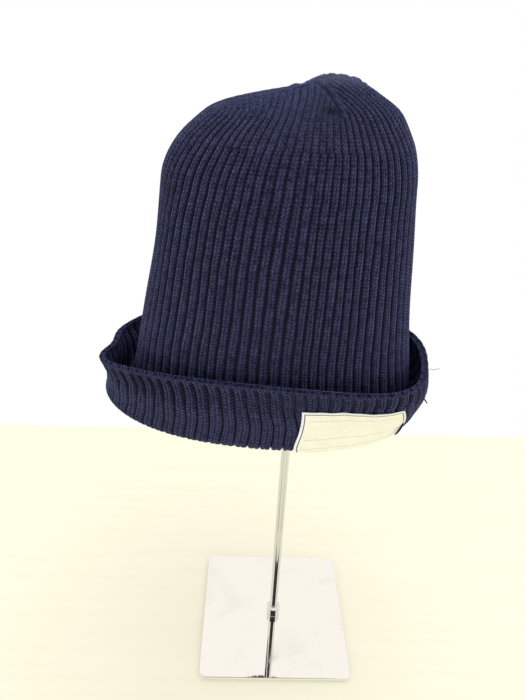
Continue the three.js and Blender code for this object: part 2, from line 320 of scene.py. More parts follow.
def from_meeting_point(place, share):
    """A point's place round the dome and its share of it, seen from where the darts meet."""
    meeting_share, meeting_rib = DARTS_MEET
    around, towards = math.tau * place / RIBS, math.tau * meeting_rib / RIBS
    off = meeting_share * (1 - share**2) ** 2
    x = share * np.cos(around) - off * math.cos(towards)
    y = share * np.sin(around) - off * math.sin(towards)
    return np.degrees(np.arctan2(y, x)) / 360 * RIBS % RIBS, np.hypot(x, y)


def darted_ribs(place, share):
    """What the darts make of the dome, from points' places round it, in ribs, and their rings' share of the
    girth at the dome's foot.

    Returns their rib numbers, the share that their stitches climb to, how strongly the ribs stand out there,
    and how far the cloth stands up beside a seam or dips in it.
    """
    place, share = from_meeting_point(place, share)
    rib = (place - stand_aside(place, float(cloth.darts))) % RIBS
    drawn = np.clip(1 - share / DART_SHARE, 0, 1)
    drawn = drawn**2 * (1 + DART_EASE) / (drawn + DART_EASE)
    begun = np.clip(drawn / SEAM_FULL, 0, 1)
    straight = np.clip(drawn / RIBS_STRAIGHT, 0, 1)
    straight = straight**2 * (3 - 2 * straight)
    pitch = cloth.girth[cloth.darts] / RIBS
    ridge_place, ridge_width = SEAM_RIDGE
    numbered, climbed = rib.copy(), share.copy()
    strength, ridge = np.ones_like(rib), np.zeros_like(rib)
    for dart, following in zip(DARTS, [*DARTS[1:], DARTS[0]]):
        past = (rib - dart.rib) % RIBS
        inside = past < (following.rib - dart.rib) % RIBS
        off_kept = past[inside] - (dart.kept - dart.rib)
        angle = off_kept * math.tau / RIBS
        narrowed = 1 - SIDE_BY_SIDE * straight[inside] * (1 - np.sinc(angle / math.pi))
        numbered[inside] = dart.kept + off_kept * (1 - drawn[inside]) * narrowed
        climbed[inside] = share[inside] * (1 - straight[inside] * (1 - np.cos(angle)))
        off_seam = ((past + RIBS / 2) % RIBS - RIBS / 2) * pitch * share
        strength *= 1 - begun * bell(off_seam, dart.fade)
        ridge += begun * (bell(off_seam - ridge_place, ridge_width) - bell(off_seam, SEAM_GROOVE))
    puckered = bell(rib - PUCKER.rib, PUCKER.ribs) * bell(share - PUCKER.share, PUCKER.reach)
    return numbered, climbed, strength, ridge - PUCKER.depth * puckered


# ---------------------------------------------------------------- meshes


def deselect():
    """Leaves no object selected."""
    bpy.ops.object.select_all(action="DESELECT")


def active():
    """The object that an operator has just made or works on."""
    return bpy.context.view_layer.objects.active


def shaped_grid(name, columns, rows, shape):
    """A grid of faces. From its points' columns and rows, shape gives their places and their named values."""
    deselect()
    bpy.ops.mesh.primitive_grid_add(x_subdivisions=columns, y_subdivisions=rows, size=1)
    grid = active()
    grid.name = name
    flat = np.empty(len(grid.data.vertices) * 3)
    grid.data.vertices.foreach_get("co", flat)
    flat = flat.reshape(-1, 3)
    column = np.rint((flat[:, 0] + 0.5) * columns).astype(int)
    row = np.rint((flat[:, 1] + 0.5) * rows).astype(int)
    points, values = shape(column, row)
    grid.data.vertices.foreach_set("co", (points * MM).ravel())
    for label, value in values.items():
        attribute = grid.data.attributes.new(label, "FLOAT", "POINT")
        attribute.data.foreach_set("value", value.astype(np.float32))
    return grid


def follow_cloth(piece, map_name, wrap=0):
    """Gives a piece a UV map from its own across and along attributes, which may wrap round."""
    mesh = piece.data
    corner = np.empty(len(mesh.loops), int)
    mesh.loops.foreach_get("vertex_index", corner)
    uv = np.empty((len(corner), 2))
    for k, label in enumerate(("across", "along")):
        values = np.empty(len(mesh.vertices), np.float32)
        mesh.attributes[label].data.foreach_get("value", values)
        uv[:, k] = values[corner]
    if wrap:
        starts = np.empty(len(mesh.polygons), int)
        sizes = np.empty(len(mesh.polygons), int)
        mesh.polygons.foreach_get("loop_start", starts)
        mesh.polygons.foreach_get("loop_total", sizes)
        highest = np.maximum.reduceat(uv[:, 0], starts)
        far = np.repeat(highest, sizes) - uv[:, 0] > wrap / 2
        uv[far, 0] += wrap
    mesh.uv_layers.new(name=map_name).data.foreach_set("uv", uv.ravel())


def join(pieces, name):
    """One piece from several, with the points where they meet merged and smooth faces."""
    deselect()
    for piece in pieces:
        piece.select_set(True)
    bpy.context.view_layer.objects.active = pieces[0]
    bpy.ops.object.join()
    bpy.ops.object.mode_set(mode="EDIT")
    bpy.ops.mesh.select_all(action="SELECT")
    bpy.ops.mesh.remove_doubles(threshold=1e-6)
    bpy.ops.mesh.normals_make_consistent(inside=False)
    bpy.ops.object.mode_set(mode="OBJECT")
    bpy.ops.object.shade_smooth()
    active().name = name
    return active()


# ---------------------------------------------------------------- the knitted cap

# Every point of the knit has four values: across counts the ribs round the cap, along counts the rows of
# stitches up it, crest runs from 0 in a groove to 1 on a rib and sets the shade painted into the grooves,
# and the fourth is painted light: low for painted shade, with 0 on the cuff and little at the crown's foot,
# and high for a painted highlight towards the top.

CROWN_DEPTH = [(300, 2.3), (400, 1.5)]  # from a rib's crest down to the groove, by height
CUFF_DEPTH = 2.2
THINNED = 0.4  # the share of the ribs' depth that the wall is thinner by
# Painted shade at the crown's foot just above the cuff, lighter just above that, easing off upwards.
CROWN_PAINTED_LIGHT = [(253, 0.1), (264, 1.5), (300, 1.2), (340, 1.1)]  # painted light by height
# Towards the cuff's free edge, by the cloth's row: the share of their depth that the ribs keep, how wide
# their rounded sides are on its outer face, and how much thicker the wall is to either side of its middle.
EDGE_RIBS = [(0.6, 0.15), (5, 1)]
EDGE_SHOULDER = [(0, 0.46), (20, 0.44), (28, 0.2)]
EDGE_WALL = [(0, 0.9), (6, 0)]
EDGE_CREST = 0.9  # the crest value, which sets painted shade, where the ribs have flattened out
EDGE_TURNS = (40, 75)  # degrees round the edge at which each side of the wall has a row of points
DOME_PAINTED_LIGHT = [(0.15, 3.6), (0.35, 1.3), (1, 1.2)]  # painted light by share of the dome: a painted highlight at the top
RIDGE_RAISES = 0.65  # how far a seam's ridge raises the cloth, as a share of the ribs' depth
RIDGE_CREST = 0.35  # how far it raises the crest value, painting highlight on ridges and shade in seams
FLAT_CREST = 0.73  # the crest value, which sets painted shade, where the ribs have died away beside a seam
# Rows of points on each stretch of the wall, and rings of the dome: its last has a point for each column.
CROWN_ROWS = 56
CUFF_INSIDE_ROWS = 20
CUFF_OUTSIDE_ROWS = 36
CROWN_INSIDE_ROWS = 14
DOME = RIBS


def wall_half(depth):
    """Half the thickness of the wall, less what its ribs take of it."""
    return 0.5 * (KNIT_THICKNESS - THINNED * depth)


def tube_shape(rows):
    """The shape of the cap's tube. For each row of its grid, rows gives the row of the cloth, the face (1 is
    the crown's outer one, and -1 the other) and the turn round the free edge."""
    table = np.array(rows)

    def shape(column, row):
        cloth_row, face, edge = table[row].T
        rib = column / POINTS_PER_RIB
        height = np.interp(cloth_row, np.arange(len(cloth.height)), cloth.height)
        place = column + POINTS_PER_RIB * stand_aside(rib, cloth_row)
        point, normal = cloth.at(cloth_row, place)
        level = point[:, 2]
        on_crown = cloth_row > cloth.lowest
        ribbed = table_value(EDGE_RIBS, cloth_row)
        depth = np.where(on_crown, table_value(CROWN_DEPTH, level), CUFF_DEPTH * ribbed)
        outer = rib_height(rib)
        inner = rib_height(rib + 0.5, table_value(EDGE_SHOULDER, cloth_row))
        wave = np.where(face > 0, outer - 0.5, 0.5 - inner) * depth
        up = np.cross(cloth.at(cloth_row, place + 1)[0] - cloth.at(cloth_row, place - 1)[0], normal)
        up /= np.maximum(np.linalg.norm(up, axis=1, keepdims=True), 1e-9)
        turned = np.radians(edge)
        half = wall_half(depth) + table_value(EDGE_WALL, cloth_row)
        away = face * half * np.cos(turned) + wave
        placed = point + normal * away[:, None] - up * (half * np.sin(turned))[:, None]
        # The crest value sets the shade painted into the grooves.
        crest = np.where(face > 0, outer, inner)
        crest = np.where(cloth_row < cloth.lowest, EDGE_CREST + (crest - EDGE_CREST) * ribbed, crest)
        # The painted light: 0 for the cuff's painted shade, and by height on the crown.
        painted_light = np.where(on_crown, table_value(CROWN_PAINTED_LIGHT, level), 0)
        across = rib + np.where(face > 0, 0, 0.5)
        return placed, {"across": across, "along": height / COURSE, "crest": crest, "painted_light": painted_light}

    return shape


def dome_shape(column, row):
    """The shape of the cap's dome: the grid's concentric squares become the crown's rings."""
    x, y = column - DOME, row - DOME
    # Each point is on the square k steps out, and m points round it from the middle of its far side.
    k = np.maximum(np.abs(x), np.abs(y))
    m = np.select(
        [(y == k) & (x <= 0), x == -k, y == -k, x == k],
        [-x, k + (k - y), 3 * k + (x + k), 5 * k + (y + k)],
        7 * k + (k - x),
    )
    rim = np.where(k > 0, m / np.maximum(k, 1) * RIBS / POINTS_PER_RIB, 0) % RIBS
    place = rim + stand_aside(rim, float(cloth.darts))
    share = k / DOME
    dome_rows = np.arange(cloth.darts, len(cloth.rings))
    girth = cloth.girth[cloth.darts :] / cloth.girth[cloth.darts]
    cloth_row = np.interp(-share, -girth, dome_rows)
    point, normal = cloth.at(cloth_row, place * POINTS_PER_RIB)
    rib, climbed, strength, ridge = darted_ribs(place, share)
    rib = np.where(k == DOME, rim, rib)
    outer = rib_height(rib)
    depth = table_value(CROWN_DEPTH, point[:, 2])
    wave = ((outer - 0.5) * strength + RIDGE_RAISES * ridge) * depth
    placed = point + normal * (wall_half(depth) + wave)[:, None]
    climb = np.interp(-climbed, -girth, cloth.height[cloth.darts :])
    # The crest value sets the shade painted into the grooves and seams.
    crest = FLAT_CREST + (outer - FLAT_CREST) * strength + RIDGE_CREST * ridge
    # The painted light: a painted highlight towards the top of the dome.
    painted_light = table_value(DOME_PAINTED_LIGHT, share)
    return placed, {"across": rib, "along": climb / COURSE, "crest": crest, "painted_light": painted_light}


def knitted_cap():
    """The whole cap: one closed wall of knit."""
    crown = np.linspace(cloth.darts, cloth.lowest, CROWN_ROWS)
    cuff_inside = np.linspace(cloth.lowest, 0, CUFF_INSIDE_ROWS)[1:]
    cuff_outside = np.linspace(0, cloth.lowest, CUFF_OUTSIDE_ROWS)
    crown_inside = np.linspace(cloth.lowest, len(cloth.rings) - 1, CROWN_INSIDE_ROWS)[1:]
    rows = [(row, 1, 0) for row in (*crown, *cuff_inside)]
    rows += [(0, 1, turn) for turn in EDGE_TURNS]
    rows += [(0, -1, turn) for turn in reversed(EDGE_TURNS)]
    rows += [(row, -1, 0) for row in (*cuff_outside, *crown_inside)]
    tube = shaped_grid("tube", COLUMNS, len(rows) - 1, tube_shape(rows))
    dome = shaped_grid("dome", 2 * DOME, 2 * DOME, dome_shape)
    follow_cloth(tube, "Knit")
    follow_cloth(dome, "Knit", wrap=RIBS)
    return join([tube, dome, *map(loose_thread, THREADS)], "knitted_cap")


# A loose end of yarn: where it leaves the knit, a point that it bends towards, its tip, and its radius.
Thread = namedtuple("Thread", "leaves bends tip radius")
THREADS = [
    Thread((67.5, -42, 240), (65.5, -45, 235), (62.5, -44, 230), 0.75),
    Thread((86, -13.5, 261), (90, -15.5, 260.5), (93, -16.5, 263.5), 0.16),
    Thread((80, -31, 250), (81.5, -33, 249.5), (83, -33.5, 247), 0.5),
]
THREAD_SIDES = 8
THREAD_ROWS = 12
THREAD_BLUNTNESS = 0.3  # near 0 its ends are blunt, and towards 1 they taper
THREAD_SHADE = 0.8  # its crest and painted light values, which set its painted shade


def loose_thread(thread):
    """A round end of yarn, drawn out to nothing at both ends."""

    def shape(column, row):
        t = (row / THREAD_ROWS)[:, None]
        leaves, bends, tip = (np.array(each) for each in thread[:3])
        centre = leaves * (1 - t) ** 2 + bends * 2 * t * (1 - t) + tip * t**2
        along = (tip - leaves) / np.linalg.norm(tip - leaves)
        side = np.cross(along, (0, 1, 0))
        other = np.cross(along, side)
        around = math.tau * column[:, None] / THREAD_SIDES
        thick = thread.radius * np.sin(math.pi * np.clip(t, 0, 1)) ** THREAD_BLUNTNESS
        placed = centre + thick * (side * np.cos(around) + other * np.sin(around))
        even = np.full(len(row), THREAD_SHADE)
        return placed, {"across": column / THREAD_SIDES, "along": row / 2, "crest": even, "painted_light": even}

    tube = shaped_grid("thread", THREAD_SIDES, THREAD_ROWS, shape)
    follow_cloth(tube, "Knit")
    return tube


cloth = Cloth()
cap = knitted_cap()

# ---------------------------------------------------------------- the label

# Upright lines of the label: a share of its width, the rib that the line stands at up on the cuff and down
# at the fold, counted from straight behind round the left side, and the row of the cloth at its upper end.
LabelLine = namedtuple("LabelLine", "share up down top")
LABEL_LINES = [
    LabelLine(0, 36.4, 37.3, 20.5),
    LabelLine(0.25, 38.3, 39.4, 19.4),
    LabelLine(0.5, 40.15, 41.5, 18.6),
    LabelLine(0.75, 42.1, 44.2, 20.4),
    LabelLine(1, 44.3, 46.9, 23),
]
LABEL_TURN = 4  # rows of the cloth that it follows under the fold
LABEL_OFFSET = 2.2  # from the middle of the knit to the middle of the label
LABEL_THICKNESS = 0.55
LABEL_GRID = (128, 80)  # faces across and up


def label_shape(column, row):
    """The shape of the label's sheet over the outside of the cuff, from its lower edge up."""
    u, v = column / LABEL_GRID[0], row / LABEL_GRID[1]
    shares, up, down, top = zip(*LABEL_LINES)
    up, down, top = (np.interp(u, shares, each) for each in (up, down, top))
    # The upper edge wanders a little, and the cloth ripples and billows.
    uneven = 0.3 * np.sin(u * 19 + 0.6) * np.sin(u * 7 + 2)
    bottom = cloth.lowest + LABEL_TURN
    cloth_row = bottom + (top + uneven - bottom) * v
    point, normal = cloth.at(cloth_row, (down + (up - down) * v) * POINTS_PER_RIB)
    ripple = 0.13 * np.cos(v * 9 + 34 * u) * np.clip(4 * v, 0, 1)
    billow = 0.5 * np.abs(np.sin(u * 5.3 + 1) * np.sin(v * 3.1 + u * 2))
    placed = point - normal * (LABEL_OFFSET + ripple + billow)[:, None]
    return placed, {"across": u, "along": v}


def sewn_label():
    """The label: a thin sheet of cloth that follows the cuff round its fold."""
    label = shaped_grid("sewn_label", *LABEL_GRID, label_shape)
    follow_cloth(label, "Label")
    deselect()
    label.select_set(True)
    bpy.context.view_layer.objects.active = label
    bpy.ops.object.shade_smooth()
    wall = label.modifiers.new("wall", "SOLIDIFY")
    wall.thickness = LABEL_THICKNESS * MM
    wall.offset = 0
    bpy.ops.object.modifier_apply(modifier="wall")
    return label


label = sewn_label()

# ---------------------------------------------------------------- the display stand

CLOSE = 1e-5  # how near to a height counts as at it
PLATE_CORNER = 0.006  # radius of the plate's round corners
PLATE_UPPER_EDGE = 0.0009
PLATE_LOWER_EDGE = 0.0004


def select_edges(piece, chosen):
    """Selects the edges of a piece in edit mode for which chosen(start, end) holds."""
    form = bmesh.from_edit_mesh(piece.data)
    for edge in form.edges:
        edge.select = chosen(*(corner.co for corner in edge.verts))
    bmesh.update_edit_mesh(piece.data)


def smoothed(piece, degrees):
    """Smooths a piece over edges up to some angle, so that its large faces keep their own direction."""
    bpy.ops.object.shade_smooth_by_angle(angle=math.radians(degrees))
    weighted = piece.modifiers.new("weighted", "WEIGHTED_NORMAL")
    weighted.keep_sharp = True
    bpy.ops.object.modifier_apply(modifier="weighted")
    return piece


def polished_plate():
    """The square foot of the stand, with round corners and softly rolled edges."""
    low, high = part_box("base_plate")
    deselect()
    bpy.ops.mesh.primitive_cube_add(size=1, location=(low + high) / 2, scale=high - low)
    plate = active()
    plate.name = "polished_plate"
    bpy.ops.object.transform_apply()
    bpy.ops.object.mode_set(mode="EDIT")
    bpy.ops.mesh.select_mode(type="EDGE")
    select_edges(plate, lambda a, b: abs(a.z - b.z) > CLOSE)
    bpy.ops.mesh.bevel(offset=PLATE_CORNER, segments=10)
    select_edges(plate, lambda a, b: min(a.z, b.z) > high.z - CLOSE)
    bpy.ops.mesh.bevel(offset=PLATE_UPPER_EDGE, segments=4)
    select_edges(plate, lambda a, b: max(a.z, b.z) < low.z + CLOSE)
    bpy.ops.mesh.bevel(offset=PLATE_LOWER_EDGE, segments=2)
    bpy.ops.object.mode_set(mode="OBJECT")
    return smoothed(plate, degrees=35)


def turned_rod(name, node, sides, chamfer, segments):
    """A round upright part of the stand, bevelled at its upper edge and a little at its lower one."""
    low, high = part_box(node)
    radius, depth = (high.x - low.x) / 2, high.z - low.z
    deselect()
    centre = (low + high) / 2
    bpy.ops.mesh.primitive_cylinder_add(vertices=sides, radius=radius, depth=depth, location=centre)
    rod = active()
    rod.name = name
    bpy.ops.object.transform_apply()
    bpy.ops.object.mode_set(mode="EDIT")
    bpy.ops.mesh.select_mode(type="EDGE")
    select_edges(rod, lambda a, b: min(a.z, b.z) > high.z - CLOSE)
    bpy.ops.mesh.bevel(offset=chamfer, segments=segments)
    select_edges(rod, lambda a, b: max(a.z, b.z) < low.z + CLOSE)
    bpy.ops.mesh.bevel(offset=chamfer / 4, segments=2)
    bpy.ops.object.mode_set(mode="OBJECT")
    return smoothed(rod, degrees=25)


plate = polished_plate()
pole = turned_rod("upright_pole", "pole", sides=64, chamfer=0.0004, segments=2)
nut = turned_rod("foot_nut_bright", "foot_nut", sides=96, chamfer=0.0018, segments=1)

# ---------------------------------------------------------------- finishes


def feed(tree, socket, value):
    """Joins a socket to another one, or sets its value."""
    if isinstance(value, bpy.types.NodeSocket):
        tree.links.new(value, socket)
    else:
        socket.default_value = value


def add_node(tree, kind, inputs=None, **settings):
    """Adds a node, sets it, and joins its inputs or sets their values. Returns the node."""
    node = tree.nodes.new(kind)
    for key, value in settings.items():
        setattr(node, key, value)
    for key, value in (inputs or {}).items():
        feed(tree, node.inputs[key], value)
    return node


def sum_of(tree, operation, *values):
    """The result of a sum of one to three values or sockets."""
    return add_node(tree, "ShaderNodeMath", dict(enumerate(values)), operation=operation).outputs[0]


def blended(tree, share, first, second):
    """A colour between two others, at a share that is held between 0 and 1."""
    mix = add_node(tree, "ShaderNodeMix", data_type="RGBA")
    for key, value in (("Factor_Float", share), ("A_Color", first), ("B_Color", second)):
        feed(tree, next(each for each in mix.inputs if each.identifier == key), value)
    return next(each for each in mix.outputs if each.identifier == "Result_Color")


def spread_out(tree, value, low, high, lowest=0.0, **settings):
    """What lies between low and high, spread out from lowest to 1 and held there beyond them."""
    inputs = {"Value": value, "From Min": low, "From Max": high, "To Min": lowest}
    return add_node(tree, "ShaderNodeMapRange", inputs, **settings).outputs["Result"]


def noise(tree, where, scale, detail, **more):
    """A cloudy value at a place."""
    inputs = {"Vector": where, "Scale": scale, "Detail": detail, **more}
    return add_node(tree, "ShaderNodeTexNoise", inputs).outputs["Fac"]


def on_piece(tree):
    """A point's place on its piece."""
    return add_node(tree, "ShaderNodeTexCoord").outputs["Object"]


def on_cloth(tree, map_name):
    """A point's place by its piece's own map, and how far across and along the cloth that is."""
    uv = add_node(tree, "ShaderNodeUVMap", uv_map=map_name).outputs["UV"]
    split = add_node(tree, "ShaderNodeSeparateXYZ", {"Vector": uv}).outputs
    return uv, split["X"], split["Y"]


def own_value(tree, name):
    """One of the values that a piece's points have."""
    return add_node(tree, "ShaderNodeAttribute", attribute_name=name).outputs["Fac"]


def relief(tree, shader, height, distance, strength):
    """Gives a shader raised and sunk detail, up to some metres high."""
    bump = add_node(tree, "ShaderNodeBump", {"Height": height, "Distance": distance, "Strength": strength})
    tree.links.new(bump.outputs["Normal"], shader.inputs["Normal"])


def new_group(name, inputs, outputs):
    """A shader node group, from its inputs' own values and its outputs' kinds.

    Returns its tree, and by name the sockets that its inputs come from and those that its outputs go to.
    """
    tree = bpy.data.node_groups.new(name, "ShaderNodeTree")
    for label, value in inputs.items():
        kind = "NodeSocketColor" if isinstance(value, tuple) else "NodeSocketFloat"
        tree.interface.new_socket(label, in_out="INPUT", socket_type=kind).default_value = value
    for label, kind in outputs.items():
        tree.interface.new_socket(label, in_out="OUTPUT", socket_type="NodeSocket" + kind)
    return tree, tree.nodes.new("NodeGroupInput").outputs, tree.nodes.new("NodeGroupOutput").inputs


def placed_group(tree, group, inputs):
    """A group placed in a material with its own values. Returns its outputs by name."""
    return add_node(tree, "ShaderNodeGroup", inputs, node_tree=group).outputs


def build_knit_stitches():
    """Rows of V-shaped stitches along wales: how high the yarn stands over the surface."""
    inputs = {"Across": 0.0, "Along": 0.0, "Slant": 1.4, "Uneven": 0.35}
    tree, given, result = new_group("Knit stitches", inputs, {"Height": "Float"})
    drift = sum_of(tree, "SUBTRACT", noise(tree, on_piece(tree), 260.0, 2.0), 0.5)
    drift = sum_of(tree, "MULTIPLY", drift, given["Uneven"])
    wale = sum_of(tree, "ADD", given["Across"], sum_of(tree, "MULTIPLY", drift, 0.6))
    aside = sum_of(tree, "ABSOLUTE", sum_of(tree, "SUBTRACT", sum_of(tree, "FRACT", wale), 0.5))
    slanted = sum_of(tree, "MULTIPLY", aside, given["Slant"])
    course = sum_of(tree, "MULTIPLY_ADD", drift, 2.5, sum_of(tree, "ADD", given["Along"], slanted))
    swell = sum_of(tree, "SINE", sum_of(tree, "MULTIPLY", course, math.tau))
    swell = sum_of(tree, "MULTIPLY_ADD", swell, 0.36, 0.64)
    # The yarn is highest in the middle of each half of the V, a quarter of a wale off the wale's middle.
    off_strand = sum_of(tree, "ABSOLUTE", sum_of(tree, "MULTIPLY_ADD", aside, 4.0, -1.0))
    round_yarn = sum_of(tree, "MULTIPLY_ADD", sum_of(tree, "POWER", off_strand, 2.0), -0.6, 1.0)
    tree.links.new(sum_of(tree, "MULTIPLY", swell, round_yarn), result["Height"])
    return tree


def build_heather():
    """Yarn of mixed fibres: a colour that wanders between a dark and a pale one, with specks of lint, and
    how high the fibres stand."""
    black, white = (0, 0, 0, 1), (1, 1, 1, 1)
    inputs = {"Dark": black, "Pale": white, "Lint": white, "Scale": 900.0, "Lint amount": 0.0}
    tree, given, result = new_group("Heather", inputs, {"Color": "Color", "Fibre": "Float"})
    where = on_piece(tree)
    fine = noise(tree, where, given["Scale"], 3.0)
    broad = noise(tree, where, sum_of(tree, "MULTIPLY", given["Scale"], 0.3), 2.0)
    mixed = sum_of(tree, "ADD", sum_of(tree, "MULTIPLY", fine, 0.6), sum_of(tree, "MULTIPLY", broad, 0.4))
    yarn = blended(tree, spread_out(tree, mixed, 0.36, 0.64), given["Dark"], given["Pale"])
    specks = add_node(tree, "ShaderNodeTexVoronoi", {"Vector": where, "Scale": 130.0}).outputs
    near = sum_of(tree, "LESS_THAN", specks["Distance"], 0.08)
    drawn_lot = add_node(tree, "ShaderNodeSeparateColor", {"Color": specks["Color"]}).outputs["Red"]
    chosen = sum_of(tree, "LESS_THAN", drawn_lot, given["Lint amount"])
    lint = sum_of(tree, "MULTIPLY", sum_of(tree, "MULTIPLY", near, chosen), 0.7)
    tree.links.new(blended(tree, lint, yarn, given["Lint"]), result["Color"])
    tree.links.new(fine, result["Fibre"])
    return tree


def build_smudges():
    """Handling marks on polished metal: a roughness that clouds over in patches, and the patches' mask."""
    inputs = {"Scale": 20.0, "Clean": 0.03, "Smudged": 0.2, "Amount": 0.5}
    tree, given, result = new_group("Smudges", inputs, {"Roughness": "Float", "Mask": "Float"})
    where = on_piece(tree)
    cloud = noise(tree, where, given["Scale"], 5.0, Roughness=0.6, Distortion=0.7)
    patch = spread_out(tree, cloud, 0.5, 0.72, interpolation_type="SMOOTHSTEP")
    wiped = sum_of(tree, "MULTIPLY_ADD", noise(tree, where, 900.0, 3.0), 0.8, 0.6)
    mask = sum_of(tree, "MULTIPLY", sum_of(tree, "MULTIPLY", patch, given["Amount"]), wiped)
    spread = sum_of(tree, "SUBTRACT", given["Smudged"], given["Clean"])
    rough = sum_of(tree, "MULTIPLY_ADD", mask, spread, given["Clean"])
    tree.links.new(rough, result["Roughness"])
    tree.links.new(mask, result["Mask"])
    return tree


stitches = build_knit_stitches()
heather = build_heather()
smudges = build_smudges()


def finish_named(name, sockets):
    """A new material with some of its shader's sockets set. Returns it, its node tree and the shader."""
    material = bpy.data.materials.new(name)
    material.use_nodes = True
    tree = material.node_tree
    tree.nodes.clear()
    shader = add_node(tree, "ShaderNodeBsdfPrincipled", sockets)
    add_node(tree, "ShaderNodeOutputMaterial", {"Surface": shader.outputs["BSDF"]})
    return material, tree, shader


def navy_wool():
    """Matt navy rib knit: two fine wales to a rib, painted shade in its grooves and between stitches, on the
    cuff and at the crown's foot, a pale bloom of fibres at the edges, and a painted sheen towards the top.
    """
    matt = {"Roughness": 0.95, "Specular IOR Level": 0.12}
    bloom = {"Sheen Weight": 0.32, "Sheen Roughness": 0.35, "Sheen Tint": (0.42, 0.5, 1.0, 1)}
    navy = {"Dark": (0.014, 0.0145, 0.045, 1), "Pale": (0.102, 0.107, 0.265, 1), "Scale": 800.0}
    lint = {"Lint": (0.5, 0.5, 0.55, 1), "Lint amount": 0.01}
    painted_shade_colour, painted_sheen_colour = (0.004, 0.004, 0.011, 1), (0.3, 0.33, 0.48, 1)
    material, tree, shader = finish_named("navy_wool", {**matt, **bloom})
    yarn = placed_group(tree, heather, {**navy, **lint})
    across, along = on_cloth(tree, "Knit")[1:]
    wales = sum_of(tree, "MULTIPLY", across, 2.0)
    stitch = placed_group(tree, stitches, {"Across": wales, "Along": along})
    crest, painted_light = own_value(tree, "crest"), own_value(tree, "painted_light")
    # Painted shade: the grooves go near black by the crest value, and the hollows between stitches darker by
    # their height.
    ribbed = sum_of(tree, "MULTIPLY_ADD", spread_out(tree, crest, 0.5, 1.0), 0.9, 0.1)
    painted_stitch_shade = spread_out(tree, stitch["Height"], 0.15, 0.85, lowest=0.25)
    # Painted light: darker on the cuff and at the crown's foot, and paler with a painted sheen towards the
    # top.
    painted_lightness = sum_of(tree, "MULTIPLY_ADD", painted_light, 0.2, 0.62)
    shade = sum_of(tree, "MULTIPLY", sum_of(tree, "MULTIPLY", ribbed, painted_stitch_shade), painted_lightness)
    painted_sheen = sum_of(tree, "MULTIPLY_ADD", painted_light, 0.07, -0.07)
    colour = blended(tree, shade, painted_shade_colour, yarn["Color"])
    tree.links.new(blended(tree, painted_sheen, colour, painted_sheen_colour), shader.inputs["Base Color"])
    height = sum_of(tree, "MULTIPLY_ADD", yarn["Fibre"], 0.35, stitch["Height"])
    relief(tree, shader, height, distance=0.0009, strength=0.9)
    return material


# The label's pattern, in millimetres, from the left, right and upper edges of the cloth.
TAPE_WIDE = 68.0
TAPE_TALL = 40.0
SELVEDGE = 1.6
BORDER = (1.95, 0.33)  # the middle of the dark line, and half its width
RULES_DOWN = (7.5, 21.5, 29.0, 36.0)  # how far down each ruled line is
RULES_INSET = 4.5
RULE_HALF = 0.2  # half a ruled line's width
WEAVE = 0.55  # from one thread to the next


def cream_tape():
    """Cream woven label cloth with a white selvedge, a thin dark sewn border of dark thread and painted
    shade of its pucker, and plain ruled lines.
    """
    matt = {"Roughness": 0.85, "Specular IOR Level": 0.2, "Sheen Weight": 0.1}
    cream = {"Dark": (0.93, 0.915, 0.73, 1), "Pale": (0.99, 0.985, 0.85, 1), "Scale": 700.0}
    flecks = {"Lint": (0.7, 0.6, 0.5, 1), "Lint amount": 0.01}
    white, brown, black = (0.95, 0.94, 0.92, 1), (0.45, 0.38, 0.22, 1), (0.05, 0.05, 0.07, 1)
    material, tree, shader = finish_named("cream_tape", matt)
    uv, across, along = on_cloth(tree, "Label")
    from_left = sum_of(tree, "MULTIPLY", across, TAPE_WIDE)
    from_right = sum_of(tree, "SUBTRACT", TAPE_WIDE, from_left)
    from_top = sum_of(tree, "MULTIPLY", sum_of(tree, "SUBTRACT", 1.0, along), TAPE_TALL)
    inset = sum_of(tree, "MINIMUM", sum_of(tree, "MINIMUM", from_left, from_right), from_top)
    ruled = sum_of(tree, "COMPARE", from_top, RULES_DOWN[0], RULE_HALF)
    for down in RULES_DOWN[1:]:
        ruled = sum_of(tree, "MAXIMUM", ruled, sum_of(tree, "COMPARE", from_top, down, RULE_HALF))
    ruled = sum_of(tree, "MULTIPLY", ruled, sum_of(tree, "GREATER_THAN", inset, RULES_INSET))
    ruled = sum_of(tree, "MULTIPLY", ruled, noise(tree, uv, 60.0, 3.0))
    colour = blended(tree, ruled, placed_group(tree, heather, {**cream, **flecks})["Color"], brown)
    colour = blended(tree, sum_of(tree, "LESS_THAN", inset, SELVEDGE), colour, white)
    # The sewn border: dark thread with the painted shade of its puckered seam.
    colour = blended(tree, sum_of(tree, "COMPARE", inset, *BORDER), colour, black)
    tree.links.new(colour, shader.inputs["Base Color"])
    warp = sum_of(tree, "SINE", sum_of(tree, "MULTIPLY", from_left, math.tau / WEAVE))
    weft = sum_of(tree, "SINE", sum_of(tree, "MULTIPLY", from_top, math.tau / WEAVE))
    relief(tree, shader, sum_of(tree, "MULTIPLY", warp, weft), distance=0.00012, strength=0.6)
    return material


def polished_metal(name, colour, **marks):
    """Bright metal with handling marks, which dull its colour a little."""
    material, tree, shader = finish_named(name, {"Metallic": 1.0})
    marked = placed_group(tree, smudges, marks)
    tree.links.new(marked["Roughness"], shader.inputs["Roughness"])
    dulled = tuple(0.86 * part for part in colour)
    shade = blended(tree, marked["Mask"], (*colour, 1), (*dulled, 1))
    tree.links.new(shade, shader.inputs["Base Color"])
    return material


